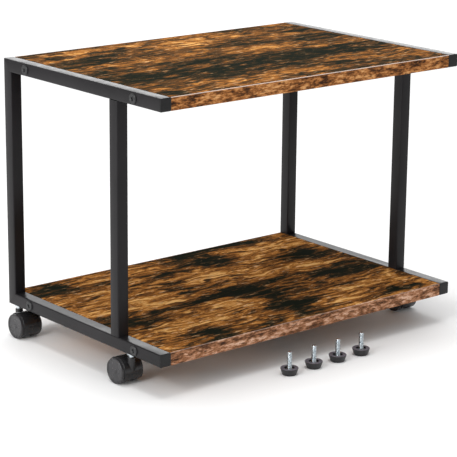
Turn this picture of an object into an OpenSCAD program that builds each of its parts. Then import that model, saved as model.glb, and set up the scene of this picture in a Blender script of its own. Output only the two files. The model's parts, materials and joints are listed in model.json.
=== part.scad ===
// Printer stand: two side frames of square tube carry two boards and roll on four twin-wheel
// castors. Four levelling feet that can take the castors' places stand in front of it.
// Millimetres. X runs left to right, Y front to back, Z up from the floor. The origin is the
// middle of the whole footprint, feet included.

/* [Stand] */
// Width over the side frames
stand_w = 600; // [400:10:900]
// Depth of the side frames
stand_d = 400; // [300:10:600]
// Height of the top shelf's surface above the floor
stand_h = 450; // [300:10:700]
// Distance of the front uprights' front face from the front end
upright_setback = 103; // [95:1:140]

/* [Tube and boards] */
// Outside size of the square tube
tube = 20; // [18:1:30]
// Wall of the tube
wall = 1.2; // [1:0.1:2]
// Thickness of the boards
board_t = 20; // [15:1:25]
// Thickness of the strip on a board's front and rear edges
band_t = 1; // [0.5:0.5:2]
// Thickness of a plug's head, which closes a tube's front end
plug_head = 2.5; // [2:0.5:5]

/* [Shelf bolts] */
// Distance of the front bolts from the front end
bolt_front = 64; // [40:1:72]
// Distance of the rear bolts from the rear end
bolt_rear = 60; // [40:1:80]
// Thread diameter of the bolts
bolt_d = 6; // [5:1:8]
// Diameter of a bolt's flat head
bolt_head_d = 16; // [11:1:16]

/* [Castors] */
// Diameter of a castor wheel
wheel_d = 40; // [36:1:40]
// Width over both wheels of a castor
castor_w = 40; // [36:1:44]
// Height of a castor, from the floor to the tube
castor_h = 50; // [50:1:60]
// Distance from the swivel axis to the axle
trail = 16; // [15:1:18]
// Distance of the front swivel axes from the front end
stem_front = 84; // [80:1:88]
// Distance of the rear swivel axes from the rear end
stem_rear = 15; // [13:1:16]

/* [Levelling feet] */
// Largest diameter of a foot's pad
pad_d = 28; // [24:1:34]
// Height of a foot's pad
pad_h = 11; // [10:1:16]
// Height of a whole foot
foot_h = 36; // [30:1:45]
// Distance of the feet's axes in front of the stand
foot_gap = 30; // [22:1:60]
// Distance from one foot to the next
foot_pitch = 50; // [36:1:120]

/* [Hidden] */
$fn = 64;

// Places. The footprint runs from the pads' front to the frames' back.
front_y = (foot_gap + pad_d / 2 - stand_d) / 2;
rear_y = front_y + stand_d;
bottom_z = castor_h;
top_z = stand_h;
inner_x = stand_w / 2 - tube;
rail_x = stand_w / 2 - tube / 2;
tube_front_y = front_y + plug_head;
upright_y = front_y + upright_setback;

// Boards, a little behind the plugs' faces
board_front_y = front_y + 1;
board_rear_y = rear_y - 1;
insert_d = 9;
insert_l = 16;
insert_hole_l = 22;
bolt_l = 38;
bolt_clearance = 0.2;
head_t = 2.2;
socket_af = 5;
socket_depth = 2;
socket_mouth_r = 3.9;
mouth_depth = 0.9;

// Fits: radial clearance of what turns, the side gap of a wheel, and the play of a plug
running = 0.05;
side_gap = 0.4;
plug_play = 0.2;

// End plug
plug_corner_r = 1.5;
spigot_l = 12;
spigot_wall = 2;

// Threads into the frame, castor and foot alike
stem_r = 4;
nut_r = 5.5;
nut_flange_r = 7;
nut_flange_t = 1;
nut_l = 14;
thread_l = 12;
collar_t = 2;
thread_bevel = 0.6;

// Castor
wheel_r = wheel_d / 2;
hub_r = 5;
axle_r = 2.5;
axle_end = castor_w / 2 - 4.5;
boss_r = 6.2;
disc_half = 4.5;
disc_r = 13;
web_half = 3.5;
web_from = 62;
web_sweep = 236;
wheel_in = boss_r + side_gap + 0.2;
wheel_out = castor_w / 2;
cap_seat = wheel_out - 2.2;
cap_play = 0.1;
hood_half = 15;
hood_r = wheel_r + side_gap;
hood_t = 1.2;
hood_from = 55;
hood_sweep = 250;
boss_top = hood_r + wheel_r + 2.6;
boss_under = 3;
socket_floor = 24;
pin_end = 26;
groove_z = 29;
ring_t = 1.2;
groove_r = 3.1;

// Foot: a hex-head screw held head down in the pad's pocket
pad_foot_r = pad_d / 2 - 3;
pocket_r = 7.9;
pocket_floor = 3;
screw_head_af = 13;
screw_head_t = 5.3;
screw_bevel = 1;

steel_black = "#262426";
plastic_black = "#1b1b1d";
wheel_grey = "#3c3b3d";
zinc = "#b9bcc0";
board_brown = "#7a4f2c";
band_brown = "#b07a4e";

SIDES = [["left", -1], ["right", 1]];
LEVELS = [["top", top_z - tube / 2], ["bottom", bottom_z + tube / 2]];
// Castors: name, side, swivel axis, and the way the wheels trail
CASTORS = [
    ["front_left", -1, front_y + stem_front, 1],
    ["front_right", 1, front_y + stem_front, 1],
    ["rear_left", -1, rear_y - stem_rear, -1],
    ["rear_right", 1, rear_y - stem_rear, -1]
];
BOLT_YS = [front_y + bolt_front, rear_y - bolt_rear];

function hex_r(af) = af / 2 / cos(30);
function arc(cx, cy, r, from, to, steps = 8) =
    [for (i = [0:steps]) let (a = from + (to - from) * i / steps) [cx + r * cos(a), cy + r * sin(a)]];

// Extrudes a side view, drawn in Y and Z, across a width centred on x
module side_view(points, x, width) {
    translate([x - width / 2, 0, 0]) rotate([90, 0, 90]) linear_extrude(width) polygon(points);
}

// A cylinder along X
module x_rod(r, length) {
    rotate([0, 90, 0]) cylinder(r = r, h = length, center = true);
}

// A box given by two opposite corners
module span_box(low, high) {
    translate(low) cube(high - low);
}

// ---- side frames ----

module bolt_holes(sx, z) {
    for (y = BOLT_YS) translate([sx * rail_x, y, z]) x_rod(bolt_d / 2 + bolt_clearance, tube + 2);
}

// Top rail: open at the front, mitred at the rear
module top_rail(sx) {
    low = top_z - tube;
    outline = [[tube_front_y, low], [rear_y - tube, low], [rear_y, top_z], [tube_front_y, top_z]];
    color(steel_black) difference() {
        side_view(outline, sx * rail_x, tube);
        span_box([sx * rail_x - tube / 2 + wall, front_y - 1, low + wall],
                 [sx * rail_x + tube / 2 - wall, rear_y + 1, top_z - wall]);
        bolt_holes(sx, top_z - tube / 2);
    }
}

// Bottom rail: as the top rail, with holes for the two stem nuts
module bottom_rail(sx) {
    high = bottom_z + tube;
    outline = [[tube_front_y, bottom_z], [rear_y, bottom_z], [rear_y - tube, high], [tube_front_y, high]];
    color(steel_black) difference() {
        side_view(outline, sx * rail_x, tube);
        span_box([sx * rail_x - tube / 2 + wall, front_y - 1, bottom_z + wall],
                 [sx * rail_x + tube / 2 - wall, rear_y + 1, high - wall]);
        bolt_holes(sx, bottom_z + tube / 2);
        for (y = [CASTORS[0][2], CASTORS[2][2]])
            translate([sx * rail_x, y, bottom_z - 1]) cylinder(r = nut_r, h = wall + 2);
    }
}

// Front upright: square ends between the rails
module front_upright(sx) {
    color(steel_black) difference() {
        span_box([sx * rail_x - tube / 2, upright_y, bottom_z + tube],
                 [sx * rail_x + tube / 2, upright_y + tube, top_z - tube]);
        span_box([sx * rail_x - tube / 2 + wall, upright_y + wall, bottom_z],
                 [sx * rail_x + tube / 2 - wall, upright_y + tube - wall, top_z]);
    }
}

// Rear upright: mitred into both rails
module rear_upright(sx) {
    outline = [
        [rear_y, bottom_z], [rear_y, top_z],
        [rear_y - tube, top_z - tube], [rear_y - tube, bottom_z + tube]
    ];
    color(steel_black) difference() {
        side_view(outline, sx * rail_x, tube);
        span_box([sx * rail_x - tube / 2 + wall, rear_y - tube + wall, bottom_z - 1],
                 [sx * rail_x + tube / 2 - wall, rear_y - wall, top_z + 1]);
    }
}

// End plug: a head over the tube's end and a hollow spigot inside it
module end_plug(sx, z) {
    flat = tube - 2 * plug_corner_r;
    spigot = tube - 2 * wall - plug_play;
    hollow = spigot - 2 * spigot_wall;
    color(plastic_black) translate([sx * rail_x, tube_front_y, z]) rotate([-90, 0, 0]) {
        mirror([0, 0, 1]) hull() {
            linear_extrude(plug_head - 1) offset(plug_corner_r) square(flat, center = true);
            linear_extrude(plug_head) offset(plug_corner_r - 1) square(flat, center = true);
        }
        difference() {
            translate([-spigot / 2, -spigot / 2, 0]) cube([spigot, spigot, spigot_l]);
            translate([-hollow / 2, -hollow / 2, 1]) cube([hollow, hollow, spigot_l]);
        }
    }
}

// ---- shelves ----

// Board between the rails, drilled at both ends for the inserts
module shelf(z) {
    color(board_brown) difference() {
        span_box([-inner_x, board_front_y + band_t, z - board_t / 2],
                 [inner_x, board_rear_y - band_t, z + board_t / 2]);
        for (sx = [-1, 1], y = BOLT_YS)
            translate([sx * inner_x, y, z]) x_rod(insert_d / 2, 2 * insert_hole_l);
    }
}

// Strips on a board's front and rear edges
module edge_bands(z) {
    color(band_brown) for (y = [board_front_y, board_rear_y - band_t])
        span_box([-inner_x, y, z - board_t / 2], [inner_x, y + band_t, z + board_t / 2]);
}

// Flat-head bolt with a dished hex socket, pointing along -Z from the seat of its head
module flat_head_bolt() {
    r = bolt_head_d / 2;
    difference() {
        rotate_extrude() polygon([
            [0, -bolt_l], [bolt_d / 2 - thread_bevel, -bolt_l], [bolt_d / 2, -bolt_l + thread_bevel],
            [bolt_d / 2, 0], [r, 0], [r, head_t - 1], [r - 1, head_t], [0, head_t]
        ]);
        translate([0, 0, head_t - socket_depth]) cylinder(r = hex_r(socket_af), h = head_t, $fn = 6);
        rotate_extrude() polygon([
            [0, head_t - mouth_depth], [hex_r(socket_af) - 0.4, head_t - mouth_depth],
            [socket_mouth_r, head_t], [socket_mouth_r, head_t + 1], [0, head_t + 1]
        ]);
    }
}

module shelf_bolts() {
    color(plastic_black) for (side = SIDES, level = LEVELS, y = BOLT_YS)
        translate([side[1] * stand_w / 2, y, level[1]]) rotate([0, side[1] * 90, 0]) flat_head_bolt();
}

// Threaded sleeves in the boards' ends, with a bore that takes the bolt
module shelf_inserts() {
    color(zinc) for (sx = [-1, 1], level = LEVELS, y = BOLT_YS)
        translate([sx * (inner_x - insert_l / 2), y, level[1]]) difference() {
            x_rod(insert_d / 2, insert_l);
            x_rod(bolt_d / 2, insert_l + 2);
        }
}

// ---- castors ----

// Rivet nuts in the bottom rails: a flange under the tube and a threaded body inside it
module stem_nuts() {
    color(zinc) for (c = CASTORS) translate([c[1] * rail_x, c[2], bottom_z]) difference() {
        union() {
            translate([0, 0, -nut_flange_t]) cylinder(r = nut_flange_r, h = nut_flange_t);
            cylinder(r = nut_r, h = nut_l);
        }
        translate([0, 0, -2]) cylinder(r = stem_r, h = nut_l + 4);
    }
}

// Stem: a threaded end in the frame, a collar, and a plain pin that the housing swivels on
module castor_stem() {
    pin_r = stem_r - running;
    collar_r = nut_flange_r - 0.5;
    collar_top = castor_h - nut_flange_t;
    collar_z = collar_top - collar_t;
    thread_end = castor_h + thread_l;
    color(zinc) rotate_extrude() polygon([
        [0, pin_end], [pin_r - thread_bevel, pin_end], [pin_r, pin_end + thread_bevel],
        [pin_r, groove_z], [groove_r, groove_z], [groove_r, groove_z + ring_t], [pin_r, groove_z + ring_t],
        [pin_r, collar_z], [collar_r, collar_z], [collar_r, collar_top], [pin_r, collar_top],
        [pin_r, thread_end - thread_bevel], [pin_r - thread_bevel, thread_end], [0, thread_end]
    ]);
}

// Split spring rings in the stems' grooves, which hold the castors on
module stem_grip_rings() {
    color(zinc) for (c = CASTORS) translate([c[1] * rail_x, c[2], groove_z])
        rotate_extrude(angle = 320) translate([groove_r, 0]) square([stem_r - running - groove_r, ring_t]);
}

// Moves a shape that is made around the Z axis onto the axle's line
module on_axle() {
    translate([0, trail, wheel_r]) rotate([0, 90, 0]) children();
}

// A stretch of ring round the axle. The sweep runs from the rear, over the top, to the front.
module axle_ring(inner, outer, half, from, sweep) {
    on_axle() rotate([0, 0, from]) rotate_extrude(angle = sweep, $fn = 96)
        translate([inner, -half]) square([outer - inner, 2 * half]);
}

// Housing: hood over both wheels, web between them and the socket for the stem
module castor_housing() {
    color(plastic_black) difference() {
        union() {
            axle_ring(hood_r, hood_r + hood_t, hood_half, hood_from, hood_sweep);
            axle_ring(disc_r - 3, hood_r + hood_t / 2, web_half, web_from, web_sweep);
            on_axle() cylinder(r = disc_r, h = 2 * disc_half, center = true);
            on_axle() cylinder(r = 2 * axle_r, h = 2 * wheel_in - 2 * side_gap, center = true);
            rotate_extrude() polygon([
                [0, socket_floor - boss_under], [boss_r - 1.5, socket_floor - boss_under],
                [boss_r, socket_floor - 1], [boss_r, boss_top - 1], [boss_r - 1, boss_top], [0, boss_top]
            ]);
        }
        translate([0, 0, socket_floor]) cylinder(r = stem_r, h = castor_h);
        on_axle() cylinder(r = axle_r, h = castor_w, center = true);
    }
}

// Axle, pressed into the housing, with a retaining groove near each end
module castor_axle() {
    half = [[0, 0], [axle_r, 0], [axle_r, axle_end - 2], [axle_r - 0.5, axle_end - 2],
            [axle_r - 0.5, axle_end - 1], [axle_r, axle_end - 1], [axle_r, axle_end - 0.5],
            [axle_r - 0.5, axle_end], [0, axle_end]];
    color(zinc) on_axle() {
        rotate_extrude() polygon(half);
        mirror([0, 0, 1]) rotate_extrude() polygon(half);
    }
}

// Wheel: hub, disc and rim in one moulding, with a seat for the cap. side is +1 or -1 along X.
module castor_wheel(side) {
    edge = 1.6;
    rim_r = wheel_r - 2.8;
    lip_r = wheel_r - 1.8;
    color(wheel_grey) on_axle() mirror([0, 0, side > 0 ? 0 : 1]) rotate_extrude($fn = 96) polygon(concat(
        [[axle_r + running, wheel_in], [hub_r, wheel_in], [hub_r, 11], [rim_r, 11], [rim_r, wheel_in]],
        [[wheel_r - 0.8, wheel_in], [wheel_r, wheel_in + 0.8]],
        [[wheel_r, hood_half + 0.3], [wheel_r - 0.4, hood_half + 0.6], [wheel_r, hood_half + 0.9]],
        arc(wheel_r - edge, wheel_out - edge, edge, 0, 90),
        [[lip_r, wheel_out], [lip_r, cap_seat], [rim_r, cap_seat], [rim_r, 13], [hub_r, 13]],
        [[hub_r, axle_end], [axle_r + running, axle_end]]
    ));
}

// Cap: a shallow dished disc pressed into the wheel's outer face
module wheel_cap(side) {
    cap_r = wheel_r - 1.8 - cap_play;
    color(wheel_grey) on_axle() mirror([0, 0, side > 0 ? 0 : 1]) rotate_extrude($fn = 96) polygon([
        [0, cap_seat + 0.5], [cap_r - 1.2, cap_seat + 0.5], [cap_r - 0.8, cap_seat], [cap_r, cap_seat],
        [cap_r, wheel_out - 0.9], [cap_r - 0.6, wheel_out - 0.3], [cap_r - 4, wheel_out - 0.3],
        [cap_r - 5, wheel_out - 0.6], [0, wheel_out - 0.6]
    ]);
}

// Puts a castor piece under the frame, with its wheels on the side it trails to
module at_castor(c) {
    translate([c[1] * rail_x, c[2], 0]) rotate([0, 0, c[3] > 0 ? 0 : 180]) children();
}

// ---- levelling feet ----

module at_foot(i) {
    translate([(i - 2.5) * foot_pitch, front_y - foot_gap, 0]) children();
}

module foot_pad() {
    r = pad_d / 2;
    color(plastic_black) rotate_extrude() polygon([
        [0, 0], [pad_foot_r - 0.8, 0], [pad_foot_r, 0.8], [r - 0.4, pad_h - 2.8], [r, pad_h - 1.8],
        [r, pad_h - 0.8], [r - 0.8, pad_h], [pocket_r + 0.8, pad_h], [pocket_r, pad_h - 0.8],
        [pocket_r, pocket_floor], [0, pocket_floor]
    ]);
}

module foot_stud() {
    shank_z = pocket_floor + screw_head_t;
    color(zinc) {
        translate([0, 0, pocket_floor]) cylinder(r = hex_r(screw_head_af), h = screw_head_t, $fn = 6);
        translate([0, 0, shank_z]) cylinder(r = stem_r, h = foot_h - screw_bevel - shank_z);
        translate([0, 0, foot_h - screw_bevel]) cylinder(r1 = stem_r, r2 = stem_r - 0.8, h = screw_bevel);
    }
}

// ---- nodes ----

for (side = SIDES) {
    top_rail(side[1]);
    bottom_rail(side[1]);
    front_upright(side[1]);
    rear_upright(side[1]);
    for (level = LEVELS)
        end_plug(side[1], level[1]);
}
for (level = LEVELS) {
    shelf(level[1]);
    edge_bands(level[1]);
}
shelf_bolts();
shelf_inserts();
stem_nuts();
stem_grip_rings();
for (c = CASTORS) at_castor(c) {
    // A wheel's side is counted in the castor's own frame, so the rear castors swap sides
    out = c[1] * c[3];
    castor_stem();
    castor_housing();
    castor_axle();
    castor_wheel(out);
    wheel_cap(out);
    castor_wheel(-out);
    wheel_cap(-out);
}
for (i = [1:4]) at_foot(i) {
    foot_pad();
    foot_stud();
}
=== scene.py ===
"""Looks of the mobile printer stand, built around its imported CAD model. Lengths are in metres."""

import json
import math

import bmesh
import bpy
from mathutils import Matrix, Vector


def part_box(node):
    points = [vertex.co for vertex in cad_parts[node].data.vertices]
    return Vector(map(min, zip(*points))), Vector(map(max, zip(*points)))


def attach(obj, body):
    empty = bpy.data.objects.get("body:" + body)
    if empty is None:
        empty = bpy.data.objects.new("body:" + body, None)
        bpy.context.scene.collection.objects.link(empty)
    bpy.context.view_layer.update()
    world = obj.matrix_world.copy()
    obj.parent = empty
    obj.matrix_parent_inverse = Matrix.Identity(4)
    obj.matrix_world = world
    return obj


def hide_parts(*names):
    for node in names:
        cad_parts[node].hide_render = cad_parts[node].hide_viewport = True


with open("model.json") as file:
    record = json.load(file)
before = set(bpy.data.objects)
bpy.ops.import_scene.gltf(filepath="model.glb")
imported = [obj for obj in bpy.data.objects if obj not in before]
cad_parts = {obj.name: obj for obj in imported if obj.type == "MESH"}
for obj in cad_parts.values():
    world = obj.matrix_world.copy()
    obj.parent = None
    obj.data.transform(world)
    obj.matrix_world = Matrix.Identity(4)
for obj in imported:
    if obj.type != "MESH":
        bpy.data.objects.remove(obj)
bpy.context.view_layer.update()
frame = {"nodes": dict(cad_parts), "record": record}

RECORD = frame["record"]
BODY_OF = {n: body for body, nodes in RECORD["behaviour"]["bodies"].items() for n in nodes}
PIVOT_OF = {j["name"]: Vector(j["pos_m"]) for j in RECORD["behaviour"]["joints"] if "pos_m" in j}
SIDES = ("left", "right")
LEVELS = ("top", "bottom")
CASTORS = ("front_left", "front_right", "rear_left", "rear_right")
FEET = (1, 2, 3, 4)
MM = 0.001


# ---------- materials ----------


def srgb(red, green, blue):
    """A colour given as 0 to 255 screen values, as linear RGBA."""
    values = [v / 255 for v in (red, green, blue)]
    return [v / 12.92 if v <= 0.04045 else ((v + 0.055) / 1.055) ** 2.4 for v in values] + [1.0]


class Shader:
    """One node-based material, with short calls for the nodes that it needs."""

    def __init__(self, name):
        self.material = bpy.data.materials.new(name)
        self.material.use_nodes = True
        self.tree = self.material.node_tree
        self.bsdf = self.tree.nodes["Principled BSDF"]
        self.place = self.add("ShaderNodeTexCoord").outputs["Object"]

    def add(self, kind, inputs=None, **settings):
        """A new node: inputs maps its sockets to constants or to other nodes' outputs."""
        node = self.tree.nodes.new(kind)
        for key, value in settings.items():
            setattr(node, key, value)
        for key, value in (inputs or {}).items():
            self.feed(node.inputs[key], value)
        return node

    def feed(self, socket, value):
        if isinstance(value, bpy.types.NodeSocket):
            self.tree.links.new(value, socket)
        else:
            socket.default_value = value

    def stretch(self, scale, shift=(0, 0, 0), place=None):
        """The object's coordinates, or those given as place, scaled and then shifted."""
        inputs = {"Vector": place or self.place, "Scale": scale, "Location": shift}
        return self.add("ShaderNodeMapping", inputs).outputs[0]

    def noise(self, scale, shift=(0, 0, 0), detail=4.0, rough=0.55, place=None):
        """Noise about 0.5, whose scale is in spots per metre along each axis."""
        inputs = {"Vector": self.stretch(scale, shift, place), "Scale": 1.0}
        inputs |= {"Detail": detail, "Roughness": rough}
        return self.add("ShaderNodeTexNoise", inputs).outputs["Fac"]

    def math(self, operation, a, b=0.0, clamp=False):
        node = self.add("ShaderNodeMath", {0: a, 1: b}, operation=operation)
        node.use_clamp = clamp
        return node.outputs[0]

    def scaled(self, value, low, high, to_low, to_high):
        """Maps low to high onto to_low to to_high, and holds the ends beyond them."""
        names = ("Value", "From Min", "From Max", "To Min", "To Max")
        inputs = dict(zip(names, (value, low, high, to_low, to_high)))
        return self.add("ShaderNodeMapRange", inputs).outputs["Result"]

    def ramp(self, value, stops):
        """A colour ramp with stops of (position, colour)."""
        node = self.add("ShaderNodeValToRGB", {"Fac": value})
        elements = node.color_ramp.elements
        while len(elements) < len(stops):
            elements.new(0.5)
        for element, (position, colour) in zip(elements, stops):
            element.position = position
            element.color = colour
        return node.outputs["Color"]

    def vector(self, operation, a, b):
        return self.add("ShaderNodeVectorMath", {0: a, 1: b}, operation=operation).outputs[0]

    def mix(self, share, a, b):
        node = self.add("ShaderNodeMix", {0: share}, data_type="RGBA")
        self.feed(node.inputs[6], a)
        self.feed(node.inputs[7], b)
        return node.outputs[2]

    def bump(self, height, strength, distance):
        inputs = {"Height": height, "Strength": strength, "Distance": distance}
        self.feed(self.bsdf.inputs["Normal"], self.add("ShaderNodeBump", inputs).outputs[0])

    def moulded_grain(self):
        """The fine grain of a moulded surface."""
        self.bump(self.noise((900, 900, 900), detail=2), 0.1, 0.0002)

    def set(self, **values):
        """Sets sockets of the Principled shader; an underscore stands for a space."""
        for key, value in values.items():
            self.feed(self.bsdf.inputs[key.replace("_", " ")], value)
        return self.material


def powder_coat():
    """Satin black powder coat: fine orange peel, and a little dust-grey drift."""
    s = Shader("powder_coat")
    drift = s.noise((9, 9, 9), detail=3)
    tint = s.ramp(drift, [(0.3, srgb(26, 25, 26)), (0.7, srgb(34, 32, 34))])
    peel = s.noise((1400, 1400, 1400), detail=2)
    s.bump(peel, 0.12, 0.0002)
    rough = s.scaled(s.noise((60, 60, 60)), 0.3, 0.7, 0.29, 0.38)
    return s.set(Base_Color=tint, Roughness=rough, IOR=1.26)


def moulded(name, dark, light, rough, ior=1.45):
    """Moulded plastic or blackened steel with a fine grain."""
    s = Shader(name)
    tint = s.ramp(s.noise((40, 40, 40)), [(0.3, dark), (0.7, light)])
    s.moulded_grain()
    roughness = s.scaled(s.noise((120, 120, 120)), 0.3, 0.7, rough - 0.04, rough + 0.05)
    return s.set(Base_Color=tint, Roughness=roughness, IOR=ior)


def pad_rubber():
    """Black rubber whose top face is painted a lighter grey, as a painted highlight."""
    s = Shader("pad_rubber")
    speckle = s.noise((300, 300, 300), detail=3)
    tint = s.ramp(speckle, [(0.3, srgb(26, 26, 27)), (0.7, srgb(36, 35, 36))])
    # Painted highlight: the top face's lighter grey stands in for the light that it catches.
    top_highlight_tint = s.ramp(speckle, [(0.3, srgb(88, 84, 92)), (0.7, srgb(112, 107, 116))])
    height = s.add("ShaderNodeSeparateXYZ", {0: s.place})
    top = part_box("foot_1_pad")[1][2]
    # The painted highlight covers the pad's top half millimetre.
    top_highlight_mask = s.scaled(height.outputs["Z"], top - 0.5 * MM, top - 0.2 * MM, 0.0, 1.0)
    s.moulded_grain()
    return s.set(Base_Color=s.mix(top_highlight_mask, tint, top_highlight_tint), Roughness=0.42)


def zinc_plate():
    """Bright zinc plate, slightly blue, with faint cloudy patches."""
    s = Shader("zinc_plate")
    cloud = s.noise((350, 350, 350), detail=3)
    tint = s.ramp(cloud, [(0.3, srgb(186, 196, 202)), (0.7, srgb(226, 231, 234))])
    rough = s.scaled(cloud, 0.3, 0.7, 0.2, 0.34)
    return s.set(Base_Color=tint, Metallic=1.0, Roughness=rough)


def ellipses(s, place, marks):
    """Sum of soft elliptic marks: each is a centre in X and Y, and a radius in X and in Y."""
    total = None
    for x, y, rx, ry in marks:
        scale = (1 / rx, 1 / ry, 0.001)
        shift = (-x / rx, -y / ry, 0)
        spot = s.stretch(scale, shift, place)
        mark = s.add("ShaderNodeTexGradient", {0: spot}, gradient_type="SPHERICAL").outputs["Fac"]
        total = mark if total is None else s.math("ADD", total, mark)
    return total


# Tones of the printed board, from charred to bare wood
BOARD_TONES = [
    (0.00, srgb(23, 27, 19)),
    (0.20, srgb(46, 40, 26)),
    (0.40, srgb(88, 58, 32)),
    (0.60, srgb(142, 90, 42)),
    (0.80, srgb(192, 130, 64)),
    (1.00, srgb(234, 184, 114)),
]
# How much a golden zone lightens the board at its middle
GOLD = 0.32


def rustic_board(name, burnt, golden, tones, burn, seed):
    """Printed rustic wood: drifting tone, burnt and golden zones, flakes and grain along X.
    Tones are the drift's lowest and highest tone, and burn is a burn's weakest and strongest
    darkening."""
    s = Shader(name)

    # The zones' outlines wander, so that they don't read as ellipses
    inputs = {"Vector": s.stretch((14, 34, 20), (seed, 0, 0)), "Detail": 4.0, "Scale": 1.0}
    wander = s.add("ShaderNodeTexNoise", inputs).outputs["Color"]
    offset = s.vector("SUBTRACT", wander, (0.5, 0.5, 0.5))
    offset = s.vector("MULTIPLY", offset, (0.12, 0.04, 0.0))
    place = s.vector("ADD", s.place, offset)

    # Tone from 0 to 1: drift, zones, then streaks, flakes and grain
    mottle = s.scaled(s.noise((24, 80, 40), (seed, 2, 0), 5, 0.7, place), 0.38, 0.6, *burn)
    dark = s.math("MULTIPLY", ellipses(s, place, burnt), mottle)
    light = s.math("MULTIPLY", ellipses(s, place, golden), GOLD)
    tone = s.scaled(s.noise((6, 18, 5), (seed, 3, 0), detail=6, rough=0.62), 0.3, 0.7, *tones)
    tone = s.math("ADD", s.math("SUBTRACT", tone, dark), light)
    streaks = s.noise((9, 54, 30), (seed, 5, 0), 6, 0.68, place)
    flakes = s.noise((34, 150, 60), (seed, 7, 0), 4, 0.66, place)
    grain = s.noise((40, 520, 90), (seed, 1, 0), detail=3, rough=0.6)
    tone = s.math("ADD", tone, s.scaled(streaks, 0.36, 0.64, -0.24, 0.24))
    tone = s.math("ADD", tone, s.scaled(flakes, 0.38, 0.62, -0.26, 0.26))
    tone = s.math("ADD", tone, s.scaled(grain, 0.3, 0.7, -0.12, 0.12), clamp=True)

    # Dark pores and pale chips over the tone's colour
    pores = s.scaled(s.noise((60, 200, 60), (seed, 9, 0), detail=3), 0.6, 0.66, 0.0, 0.6)
    chips = s.scaled(s.noise((52, 170, 60), (seed, 12, 0), detail=3), 0.6, 0.67, 0.0, 0.8)
    chips = s.math("MULTIPLY", chips, tone)
    colour = s.mix(pores, s.ramp(tone, BOARD_TONES), srgb(40, 30, 26))
    colour = s.mix(chips, colour, srgb(236, 192, 142))
    s.bump(s.math("ADD", grain, flakes), 0.15, 0.0003)
    rough = s.scaled(flakes, 0.3, 0.7, 0.5, 0.62)
    return s.set(Base_Color=colour, Roughness=rough, IOR=1.015)


# Tones of the edge strips, from dark to light
EDGE_TONES = {
    "top": (srgb(54, 34, 22), srgb(116, 72, 38), srgb(176, 114, 62), srgb(224, 168, 110)),
    "bottom": (srgb(62, 42, 32), srgb(120, 80, 54), srgb(172, 120, 86), srgb(220, 182, 156)),
}
# How strongly the painted highlight, a pale line, shows along each edge strip's top
EDGE_HIGHLIGHT = {"top": 0.8, "bottom": 0.2}


def edge_strip(level, top_z, seed):
    """Edge strip: flaky light wood, with a pale line painted along the top as a highlight."""
    s = Shader(level + "_edge")
    flakes = s.noise((70, 70, 240), (seed, 0, 0), detail=5, rough=0.72)
    drift = s.noise((16, 16, 60), (seed, 5, 0), detail=4)
    pores = s.scaled(s.noise((100, 100, 260), (seed, 8, 0), detail=2), 0.62, 0.68, 0.0, 0.6)
    tone = s.scaled(flakes, 0.38, 0.62, 0.05, 0.85)
    tone = s.math("ADD", tone, s.scaled(drift, 0.36, 0.64, -0.2, 0.2), clamp=True)
    colour = s.ramp(tone, list(zip((0.0, 0.3, 0.6, 1.0), EDGE_TONES[level])))
    colour = s.mix(pores, colour, EDGE_TONES[level][0])
    height = s.add("ShaderNodeSeparateXYZ", {0: s.place})
    # Painted highlight: a pale line just under the top edge stands in for light caught by that edge.
    line_low, line_high = top_z - 1.0 * MM, top_z - 0.7 * MM
    highlight_line = s.scaled(height.outputs["Z"], line_low, line_high, 0.0, EDGE_HIGHLIGHT[level])
    s.bump(flakes, 0.15, 0.0002)
    colour = s.mix(highlight_line, colour, srgb(236, 216, 204))
    return s.set(Base_Color=colour, Roughness=0.5, IOR=1.15)


# ---------- meshes ----------

WELD = 1e-7
TUBE_WALL = 1.2 * MM
TUBE_CORNER = 2.2 * MM
QUARTERS = ((1, 1), (-1, 1), (-1, -1), (1, -1))

# Round a castor's axle, in degrees: where the hood and the web start, and how far they reach
HOOD_START, HOOD_SWEEP = 55, 250
WEB_START, WEB_SWEEP = 62, 236


def corners(node):
    """The low and the high corner of a CAD node's box."""
    return [Vector(corner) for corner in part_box(node)]


def finish_mesh(name, bm, crease=35):
    """Turns a bmesh into an object with smooth faces, and sharp edges past the crease angle."""
    bmesh.ops.recalc_face_normals(bm, faces=bm.faces)
    mesh = bpy.data.meshes.new(name)
    bm.to_mesh(mesh)
    bm.free()
    mesh.shade_smooth()
    mesh.set_sharp_from_angle(angle=math.radians(crease))
    obj = bpy.data.objects.new(name, mesh)
    bpy.context.scene.collection.objects.link(obj)
    return obj


def dress(obj, node, material):
    """A new piece stands for a CAD node: same body, its own material."""
    obj.data.materials.clear()
    obj.data.materials.append(material)
    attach(obj, BODY_OF[node])
    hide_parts(node)


def paint(node, material):
    """A CAD node keeps its shape and gets a material."""
    obj = frame["nodes"][node]
    obj.data.materials.clear()
    obj.data.materials.append(material)


def skin(bm, rings):
    """Quads between each ring of vertices and the next."""
    for a, b in zip(rings, rings[1:]):
        count = len(a)
        for k in range(count):
            following = (k + 1) % count
            bm.faces.new([a[k], a[following], b[following], b[k]])


def capped_skin(bm, rings):
    """Quads between the rings, and a face over the first and the last one."""
    skin(bm, rings)
    bm.faces.new(rings[0])
    bm.faces.new(rings[-1])


def lathe(bm, outline, place, start=0.0, sweep=360.0, steps=64):
    """Turns a closed outline of (radius, height) points round place's Z axis, by degrees."""
    full = sweep >= 360
    rings = []
    for i in range(steps if full else steps + 1):
        angle = math.radians(start + sweep * i / steps)
        points = [Vector((r * math.cos(angle), r * math.sin(angle), h)) for r, h in outline]
        rings.append([bm.verts.new(place @ p) for p in points])
    if full:
        skin(bm, rings + rings[:1])
    else:
        capped_skin(bm, rings)
    bmesh.ops.remove_doubles(bm, verts=bm.verts, dist=WELD)
    bmesh.ops.dissolve_degenerate(bm, edges=bm.edges, dist=WELD)


def arc(cx, cy, radius, start, end, steps):
    """Points along an arc round (cx, cy), from one angle to the other in degrees."""
    angles = [math.radians(start + (end - start) * i / steps) for i in range(steps + 1)]
    return [(cx + radius * math.cos(a), cy + radius * math.sin(a)) for a in angles]


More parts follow.
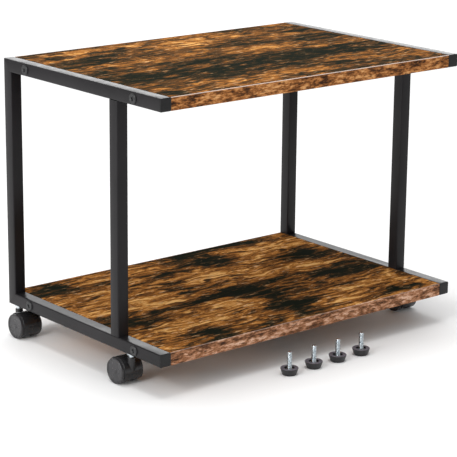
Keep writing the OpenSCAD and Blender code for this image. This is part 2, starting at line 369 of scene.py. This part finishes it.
def rounded_square(half, radius):
    """Points of a square with round corners, counter-clockwise."""
    inner = half - radius
    points = []
    for k, (sx, sy) in enumerate(QUARTERS):
        points += arc(sx * inner, sy * inner, radius, 90 * k, 90 * k + 90, 4)
    return points


def tube_piece(node, along, mitres):
    """A square tube with round corners along Y or Z. A mitre leans an end over: +1 lengthens
    the tube's high side, -1 its low side, and None is a square end."""
    low, high = corners(node)
    middle = (low + high) / 2
    length_axis = "xyz".index(along)
    lean_axis = 3 - length_axis
    half = (high.x - low.x) / 2
    ends = (low[length_axis], high[length_axis])
    bm = bmesh.new()
    loops = []
    for half_side, corner in ((half, TUBE_CORNER), (half - TUBE_WALL, TUBE_CORNER - TUBE_WALL)):
        profile = rounded_square(half_side, corner)
        for end, mitre, inward in zip(ends, mitres, (1, -1)):
            loop = []
            for across, lean in profile:
                point = Vector((middle.x + across, 0, 0))
                point[lean_axis] = middle[lean_axis] + lean
                setback = half - mitre * lean if mitre else 0
                point[length_axis] = end + inward * setback
                loop.append(bm.verts.new(point))
            loops.append(loop)
    outer, inner = loops[:2], loops[2:]
    for pair in (outer, inner, (outer[0], inner[0]), (outer[1], inner[1])):
        skin(bm, pair)
    return finish_mesh(node + "_shape", bm, crease=50)


def end_plug(node):
    """A tube's end plug: a head with softly stepped edges, and a hollow spigot behind it."""
    low, high = corners(node)
    middle = (low + high) / 2
    half = (high.x - low.x) / 2
    head = 2.5 * MM
    play = 0.1 * MM
    spigot_wall = 2 * MM
    spigot_floor = 1 * MM
    # Millimetres: how far each ring of the head stands out, and how far in from the sides it is
    layers = [(0.0, 0.35), (0.5, 0.0), (1.6, 0.0), (2.1, 0.3), (2.4, 0.9), (2.5, 1.8)]
    bm = bmesh.new()
    rings = []
    for out, inset in layers:
        profile = rounded_square(half - inset * MM, (2.0 - 0.5 * inset) * MM)
        y = low.y + head - out * MM
        rings.append([bm.verts.new((middle.x + px, y, middle.z + pz)) for px, pz in profile])
    capped_skin(bm, rings)
    front = low.y + head
    back = high.y
    spigot = half - TUBE_WALL - play
    bore = spigot - spigot_wall
    shell = []
    for reach, y in ((spigot, front), (spigot, back), (bore, back), (bore, front + spigot_floor)):
        points = [(middle.x + sx * reach, y, middle.z + sz * reach) for sx, sz in QUARTERS]
        shell.append([bm.verts.new(point) for point in points])
    capped_skin(bm, shell)
    return finish_mesh(node + "_shape", bm, crease=50)


def axle_frame(joint, side):
    """A frame at a wheel's axle whose Z runs along X: forwards for side 1, backwards for -1."""
    turn = Matrix.Rotation(math.radians(90 * side), 4, "Y")
    return Matrix.Translation(PIVOT_OF[joint]) @ turn


def on_axle(node, joint):
    """How a wheel or a cap lies on its axle: the side of the pivot that it is on, its nearest
    and its farthest distance from the pivot along the axle, and its radius."""
    low, high = corners(node)
    pivot = PIVOT_OF[joint]
    side = 1 if (low.x + high.x) / 2 > pivot.x else -1
    near, far = sorted((abs(low.x - pivot.x), abs(high.x - pivot.x)))
    return side, near, far, (high.z - low.z) / 2


def castor_wheel(castor, which):
    """A wheel: hub, thin disc, rim with a soft shoulder, tread groove and the cap's seat."""
    node = f"{castor}_{which}_wheel"
    joint = node + "_spin"
    side, near, far, r = on_axle(node, joint)
    housing_low, housing_high = corners(castor + "_housing")
    groove = (housing_high.x - housing_low.x) / 2 + 0.6 * MM
    bore = 2.55 * MM
    hub = 5 * MM
    hub_end = 15.5 * MM
    disc_near = 11 * MM
    disc_far = 13 * MM
    rim = r - 2.8 * MM
    seat_r = r - 1.85 * MM
    seat = far - 2.2 * MM
    shoulder = 1.6 * MM
    outline = [(bore, near), (hub, near), (hub, disc_near), (rim, disc_near)]
    outline += [(rim, near + 0.3 * MM), (r - 2.3 * MM, near), (r - 1 * MM, near)]
    outline += arc(r - 1 * MM, near + 1 * MM, 1 * MM, -60, 0, 3)
    outline += [(r, groove - 0.5 * MM), (r - 0.5 * MM, groove - 0.2 * MM)]
    outline += [(r - 0.5 * MM, groove + 0.2 * MM), (r, groove + 0.5 * MM)]
    outline += arc(r - shoulder, far - shoulder, shoulder, 0, 90, 6)
    outline += [(r - 1.75 * MM, far), (seat_r, far - 0.2 * MM), (seat_r, seat), (rim, seat)]
    outline += [(rim, disc_far), (hub, disc_far), (hub, hub_end), (bore, hub_end)]
    bm = bmesh.new()
    lathe(bm, outline, axle_frame(joint, side), steps=96)
    return finish_mesh(node + "_shape", bm)


def wheel_cap(castor, which):
    """A cap: dished disc with a raised rim and a low central boss."""
    node = f"{castor}_{which}_cap"
    joint = f"{castor}_{which}_wheel_spin"
    side, near, far, r = on_axle(node, joint)
    edge = 0.6 * MM
    back = near + 0.5 * MM
    dish = far - 0.8 * MM
    outline = [(0, back), (r - 1.2 * MM, back), (r - 0.8 * MM, near), (r, near)]
    outline += arc(r - edge, far - edge, edge, 0, 90, 4)
    outline += [(r - 1.6 * MM, far), (r - 2.2 * MM, dish + 0.15 * MM), (r - 4 * MM, dish)]
    outline += [(4.2 * MM, dish + 0.25 * MM), (3.8 * MM, far - 0.1 * MM), (3.2 * MM, far), (0, far)]
    bm = bmesh.new()
    lathe(bm, outline, axle_frame(joint, side), steps=96)
    return finish_mesh(node + "_shape", bm, crease=30)


def castor_housing(castor):
    """The housing: soft-edged hood, web between the wheels, axle disc and round stem socket."""
    node = castor + "_housing"
    axle = PIVOT_OF[castor + "_outer_wheel_spin"]
    swivel = PIVOT_OF[castor + "_swivel"]
    low, high = corners(node)
    wheel_low, wheel_high = corners(castor + "_outer_wheel")
    heading = Matrix.Rotation(0 if swivel.y < axle.y else math.pi, 4, "Z")
    around_axle = Matrix.Translation(axle) @ heading @ Matrix.Rotation(math.radians(90), 4, "Y")
    bm = bmesh.new()

    soft = 0.55 * MM
    half = (high.x - low.x) / 2
    r_in = (wheel_high.z - wheel_low.z) / 2 + 0.4 * MM
    r_out = r_in + 1.2 * MM
    hood = [(r_in, -half + soft), (r_in + soft, -half)]
    hood += arc(r_out - soft, -half + soft, soft, -90, 0, 3)
    hood += arc(r_out - soft, half - soft, soft, 0, 90, 3)
    hood += [(r_in + soft, half), (r_in, half - soft)]
    lathe(bm, hood, around_axle, HOOD_START, HOOD_SWEEP, 90)

    web_half = 3.5 * MM
    web_low = 10 * MM
    web_high = r_in + soft
    web = [(web_low, -web_half), (web_high, -web_half), (web_high, web_half), (web_low, web_half)]
    lathe(bm, web, around_axle, WEB_START, WEB_SWEEP, 85)

    hub_half = 6.4 * MM
    hub_r = 5.0 * MM
    disc_half = 4.5 * MM
    disc_r = 12.2 * MM
    disc_edge = 0.8 * MM
    disc = [(2.5 * MM, -hub_half), (4.4 * MM, -hub_half), (hub_r, -hub_half + 0.6 * MM)]
    disc += [(hub_r, -disc_half), (disc_r, -disc_half)]
    disc += arc(disc_r, -disc_half + disc_edge, disc_edge, -90, 0, 3)
    disc += [(r, -h) for r, h in reversed(disc)]
    lathe(bm, disc, around_axle, steps=72)

    foot = 21 * MM
    floor = foot + 3 * MM
    top = high.z
    bore = 4.0 * MM
    socket = [(0, foot), (3.7 * MM, foot)] + arc(4.2 * MM, foot + 2 * MM, 2.0 * MM, -75, 0, 5)
    socket += arc(5.2 * MM, top - 1 * MM, 1 * MM, 0, 90, 4)
    socket += [(bore + 0.4 * MM, top), (bore, top - 0.4 * MM), (bore, floor), (0, floor)]
    lathe(bm, socket, Matrix.Translation((swivel.x, swivel.y, 0)))
    return finish_mesh(node + "_shape", bm, crease=40)


def foot_pad(index):
    """A foot's pad: tapered rubber cup with a rolled rim, a round pocket and a foot groove."""
    node = f"foot_{index}_pad"
    low, high = corners(node)
    centre = (low + high) / 2
    r = (high.x - low.x) / 2
    h = high.z
    base = r - 3 * MM
    base_edge = 0.8 * MM
    recess = 0.6 * MM
    rim = 0.9 * MM
    pocket = 7.9 * MM
    pocket_floor = 3 * MM
    outline = [(0, recess), (base - 3 * MM, recess), (base - 3.5 * MM, 0), (base - base_edge, 0)]
    outline += arc(base - base_edge, base_edge, base_edge, -60, -10, 3)
    outline += [(r - 0.45 * MM, h - 2.4 * MM)]
    outline += arc(r - rim, h - rim, rim, 0, 90, 5)
    outline += [(pocket + 0.9 * MM, h), (pocket + 0.3 * MM, h - 0.2 * MM), (pocket, h - 0.8 * MM)]
    outline += [(pocket, pocket_floor), (0, pocket_floor)]
    bm = bmesh.new()
    lathe(bm, outline, Matrix.Translation((centre.x, centre.y, 0)), steps=96)
    return finish_mesh(node + "_shape", bm, crease=40)


def threaded_rod(bm, centre, z_low, z_high, r_major, pitch):
    """A closed rod whose skin carries a helical thread that fades out at the top."""
    depth = 0.61 * pitch
    around = 36
    rows_a_turn = 8
    rows = int((z_high - z_low) / pitch * rows_a_turn)
    rings = []
    for i in range(rows + 1):
        z = z_low + (z_high - z_low) * i / rows
        lead = min((z_high - z) / pitch, 1.0)
        limit = r_major - depth * (1 - lead)
        ring = []
        for k in range(around):
            turn = k / around
            phase = (z / pitch - turn) % 1.0
            flank = abs(2 * phase - 1)
            crest = min(max(1.25 * flank - 0.1, 0.0), 1.0)
            radius = min(r_major - depth * (1 - crest), limit)
            angle = 2 * math.pi * turn
            x = centre.x + radius * math.cos(angle)
            y = centre.y + radius * math.sin(angle)
            ring.append(bm.verts.new((x, y, z)))
        rings.append(ring)
    capped_skin(bm, rings)


def foot_stud(index):
    """A hex-head screw, head down in the pad, with a real thread."""
    node = f"foot_{index}_stud"
    low, high = corners(node)
    centre = (low + high) / 2
    head = 5.3 * MM
    sink = 0.2 * MM
    thread_r = 4.0 * MM
    pitch = 1.25 * MM
    half_flats = (high.y - low.y) / 2
    half_corners = half_flats / math.cos(math.radians(30))
    angles = [math.radians(60 * k) for k in range(6)]
    bm = bmesh.new()
    rings = []
    # Height up the head, and the head's share of its full width there
    for z, share in ((0.0, 0.93), (0.4 * MM, 1.0), (head - 0.5 * MM, 1.0), (head, 0.92)):
        r = half_corners * share
        points = [(centre.x + r * math.cos(a), centre.y + r * math.sin(a), low.z + z) for a in angles]
        rings.append([bm.verts.new(point) for point in points])
    capped_skin(bm, rings)
    threaded_rod(bm, centre, low.z + head - sink, high.z, thread_r, pitch)
    return finish_mesh(node + "_shape", bm, crease=32)


# ---------- the stand ----------

FRAME_BLACK = powder_coat()
PLUG_BLACK = moulded("plug_plastic", srgb(20, 20, 21), srgb(28, 27, 28), 0.46, ior=1.35)
BOLT_BLACK = moulded("black_oxide", srgb(28, 28, 29), srgb(36, 36, 37), 0.36)
HOOD_BLACK = moulded("hood_nylon", srgb(28, 27, 28), srgb(36, 35, 36), 0.24)
WHEEL_GREY = moulded("wheel_nylon", srgb(44, 43, 45), srgb(54, 53, 55), 0.25)
PAD_BLACK = pad_rubber()
ZINC = zinc_plate()

# Burnt and golden zones of the two boards: a centre from the board's middle, and two radii
TOP_BURNT = [
    (0.0, -0.065, 0.38, 0.065), (0.2, -0.05, 0.09, 0.06), (-0.2, -0.06, 0.12, 0.04),
    (-0.2, 0.105, 0.08, 0.03), (-0.25, 0.15, 0.04, 0.018), (-0.23, 0.07, 0.09, 0.022),
    (-0.107, 0.145, 0.022, 0.045), (0.23, 0.055, 0.09, 0.02), (0.22, 0.075, 0.05, 0.014),
    (0.1, -0.145, 0.1, 0.022), (-0.23, -0.182, 0.07, 0.02), (0.072, 0.16, 0.012, 0.026),
    (0.147, 0.182, 0.016, 0.024), (-0.06, -0.01, 0.12, 0.026), (0.24, 0.12, 0.05, 0.016),
]
TOP_GOLDEN = [
    (0.02, 0.15, 0.19, 0.055), (0.085, 0.03, 0.1, 0.035), (-0.125, -0.155, 0.17, 0.03),
    (0.125, -0.105, 0.07, 0.022), (-0.15, 0.175, 0.14, 0.02),
]
LOW_BURNT = [
    (-0.23, 0.17, 0.07, 0.055), (0.06, 0.15, 0.08, 0.075), (0.14, 0.19, 0.12, 0.026),
    (-0.05, 0.117, 0.06, 0.018), (0.225, 0.07, 0.1, 0.034), (0.2, -0.035, 0.11, 0.04),
    (0.02, -0.08, 0.06, 0.09), (0.02, -0.15, 0.05, 0.05), (0.01, -0.02, 0.11, 0.028),
    (-0.24, -0.05, 0.06, 0.05), (-0.17, -0.165, 0.07, 0.036), (0.2, -0.175, 0.09, 0.02),
    (-0.05, 0.07, 0.045, 0.02), (-0.1, -0.03, 0.09, 0.02),
]
LOW_GOLDEN = [
    (0.01, 0.07, 0.12, 0.05), (-0.175, 0.03, 0.09, 0.07), (0.2, 0.14, 0.09, 0.036),
    (0.2, 0.02, 0.09, 0.018), (-0.175, -0.11, 0.1, 0.026),
]
# The drift's lowest and highest tone, and the weakest and strongest burn
TONES = {"top": (0.22, 0.5), "bottom": (0.36, 0.72)}
BURN = {"top": (0.1, 0.62), "bottom": (0.5, 0.8)}


def shifted(marks, centre):
    """Marks given from a board's middle, moved to where the board is."""
    return [(x + centre.x, y + centre.y, rx, ry) for x, y, rx, ry in marks]


def dress_board(level, burnt, golden, seed):
    """A board keeps its shape, and its edge strips' edges are eased."""
    low, high = corners(level + "_shelf")
    centre = (low + high) / 2
    zones = shifted(burnt, centre), shifted(golden, centre)
    board = rustic_board(level + "_board", *zones, TONES[level], BURN[level], seed)
    paint(level + "_shelf", board)
    bands = level + "_shelf_edge_bands"
    paint(bands, edge_strip(level, high.z, seed))
    rounding = frame["nodes"][bands].modifiers.new("edge", "BEVEL")
    rounding.width = 0.4 * MM
    rounding.segments = 2


def dress_frames():
    tubes = (
        ("_top_rail", "y", (None, 1)),
        ("_bottom_rail", "y", (None, -1)),
        ("_front_upright", "z", (None, None)),
        ("_rear_upright", "z", (1, 1)),
    )
    for side in SIDES:
        for tube, along, mitres in tubes:
            dress(tube_piece(side + tube, along, mitres), side + tube, FRAME_BLACK)
        for level in LEVELS:
            plug = f"{side}_{level}_plug"
            dress(end_plug(plug), plug, PLUG_BLACK)


def dress_castors():
    for castor in CASTORS:
        dress(castor_housing(castor), castor + "_housing", HOOD_BLACK)
        for which in ("outer", "inner"):
            dress(castor_wheel(castor, which), f"{castor}_{which}_wheel", WHEEL_GREY)
            dress(wheel_cap(castor, which), f"{castor}_{which}_cap", WHEEL_GREY)
        paint(castor + "_stem", ZINC)
        paint(castor + "_axle", ZINC)


def dress_feet():
    for index in FEET:
        dress(foot_pad(index), f"foot_{index}_pad", PAD_BLACK)
        dress(foot_stud(index), f"foot_{index}_stud", ZINC)


dress_board("top", TOP_BURNT, TOP_GOLDEN, 2.0)
dress_board("bottom", LOW_BURNT, LOW_GOLDEN, 11.0)
dress_frames()
dress_castors()
dress_feet()
paint("shelf_bolts", BOLT_BLACK)
for group in ("shelf_inserts", "stem_nuts", "stem_grip_rings"):
    paint(group, ZINC)


# ---------- floor, light and camera ----------


def studio_floor():
    """A wide pale floor with a faint mottle."""
    bpy.ops.mesh.primitive_plane_add(size=30)
    floor = bpy.context.object
    floor.name = "studio_floor"
    s = Shader("studio_floor")
    mottle = s.noise((2, 2, 2), detail=2)
    tint = s.ramp(mottle, [(0.3, srgb(246, 246, 246)), (0.7, srgb(250, 250, 250))])
    floor.data.materials.append(s.set(Base_Color=tint, Roughness=0.9, Specular_IOR_Level=0.0))


def softbox(name, place, target, size, power):
    """A rectangular area light at a place, turned to a target, of a power in watts."""
    data = bpy.data.lights.new(name, "AREA")
    data.shape = "RECTANGLE"
    data.size, data.size_y = size
    data.energy = power
    light = bpy.data.objects.new(name, data)
    light.location = place
    light.rotation_euler = (Vector(target) - Vector(place)).to_track_quat("-Z", "Y").to_euler()
    bpy.context.scene.collection.objects.link(light)


def world_light(strength):
    """An even white surround."""
    world = bpy.data.worlds.new("studio")
    bpy.context.scene.world = world
    world.use_nodes = True
    background = world.node_tree.nodes["Background"]
    background.inputs["Color"].default_value = (1, 1, 1, 1)
    background.inputs["Strength"].default_value = strength


def photo_camera():
    """A long lens at the front left, looking down a little on the stand's middle."""
    azimuth, pitch, roll = (math.radians(angle) for angle in (-39.8, 15.4, 0.57))
    distance = 3.033
    aim_height = 0.27
    moved_left, moved_down = 0.0045, 0.099
    rail_low, rail_high = corners("left_top_rail")
    middle = Vector((0, (rail_low.y + rail_high.y) / 2, aim_height))
    level_forward = Vector((-math.sin(azimuth), math.cos(azimuth), 0))
    forward = level_forward * math.cos(pitch) - Vector((0, 0, math.sin(pitch)))
    right = Vector((math.cos(azimuth), math.sin(azimuth), 0))
    up = right.cross(forward)
    camera = bpy.data.objects.new("camera", bpy.data.cameras.new("camera"))
    bpy.context.scene.collection.objects.link(camera)
    camera.location = middle - forward * distance - right * moved_left - up * moved_down
    turned_right = right * math.cos(roll) + up * math.sin(roll)
    turned_up = up * math.cos(roll) - right * math.sin(roll)
    axes = Matrix((turned_right, turned_up, -forward)).transposed()
    camera.rotation_euler = axes.to_euler()
    camera.data.lens = 149.1
    camera.data.sensor_width = 36
    camera.data.clip_end = 60
    bpy.context.scene.camera = camera


studio_floor()
world_light(0.62)
softbox("key_left", (-2.6, -0.6, 1.9), (0, 0, 0.2), (1.8, 1.8), 18)
softbox("low_left", (-2.9, 0.2, 0.5), (0, 0, 0.2), (2.0, 0.7), 30)
softbox("overhead", (-0.1, 0.1, 2.8), (0, 0, 0.2), (1.4, 1.4), 44)
softbox("spark", (-2.4, -0.6, 1.8), (0, 0, 0.1), (0.3, 0.3), 9)
softbox("rear_glow", (2.6, 3.2, 1.4), (0, 0, 0.4), (3.2, 1.6), 42)
photo_camera()
bpy.context.scene.view_settings.view_transform = "Standard"
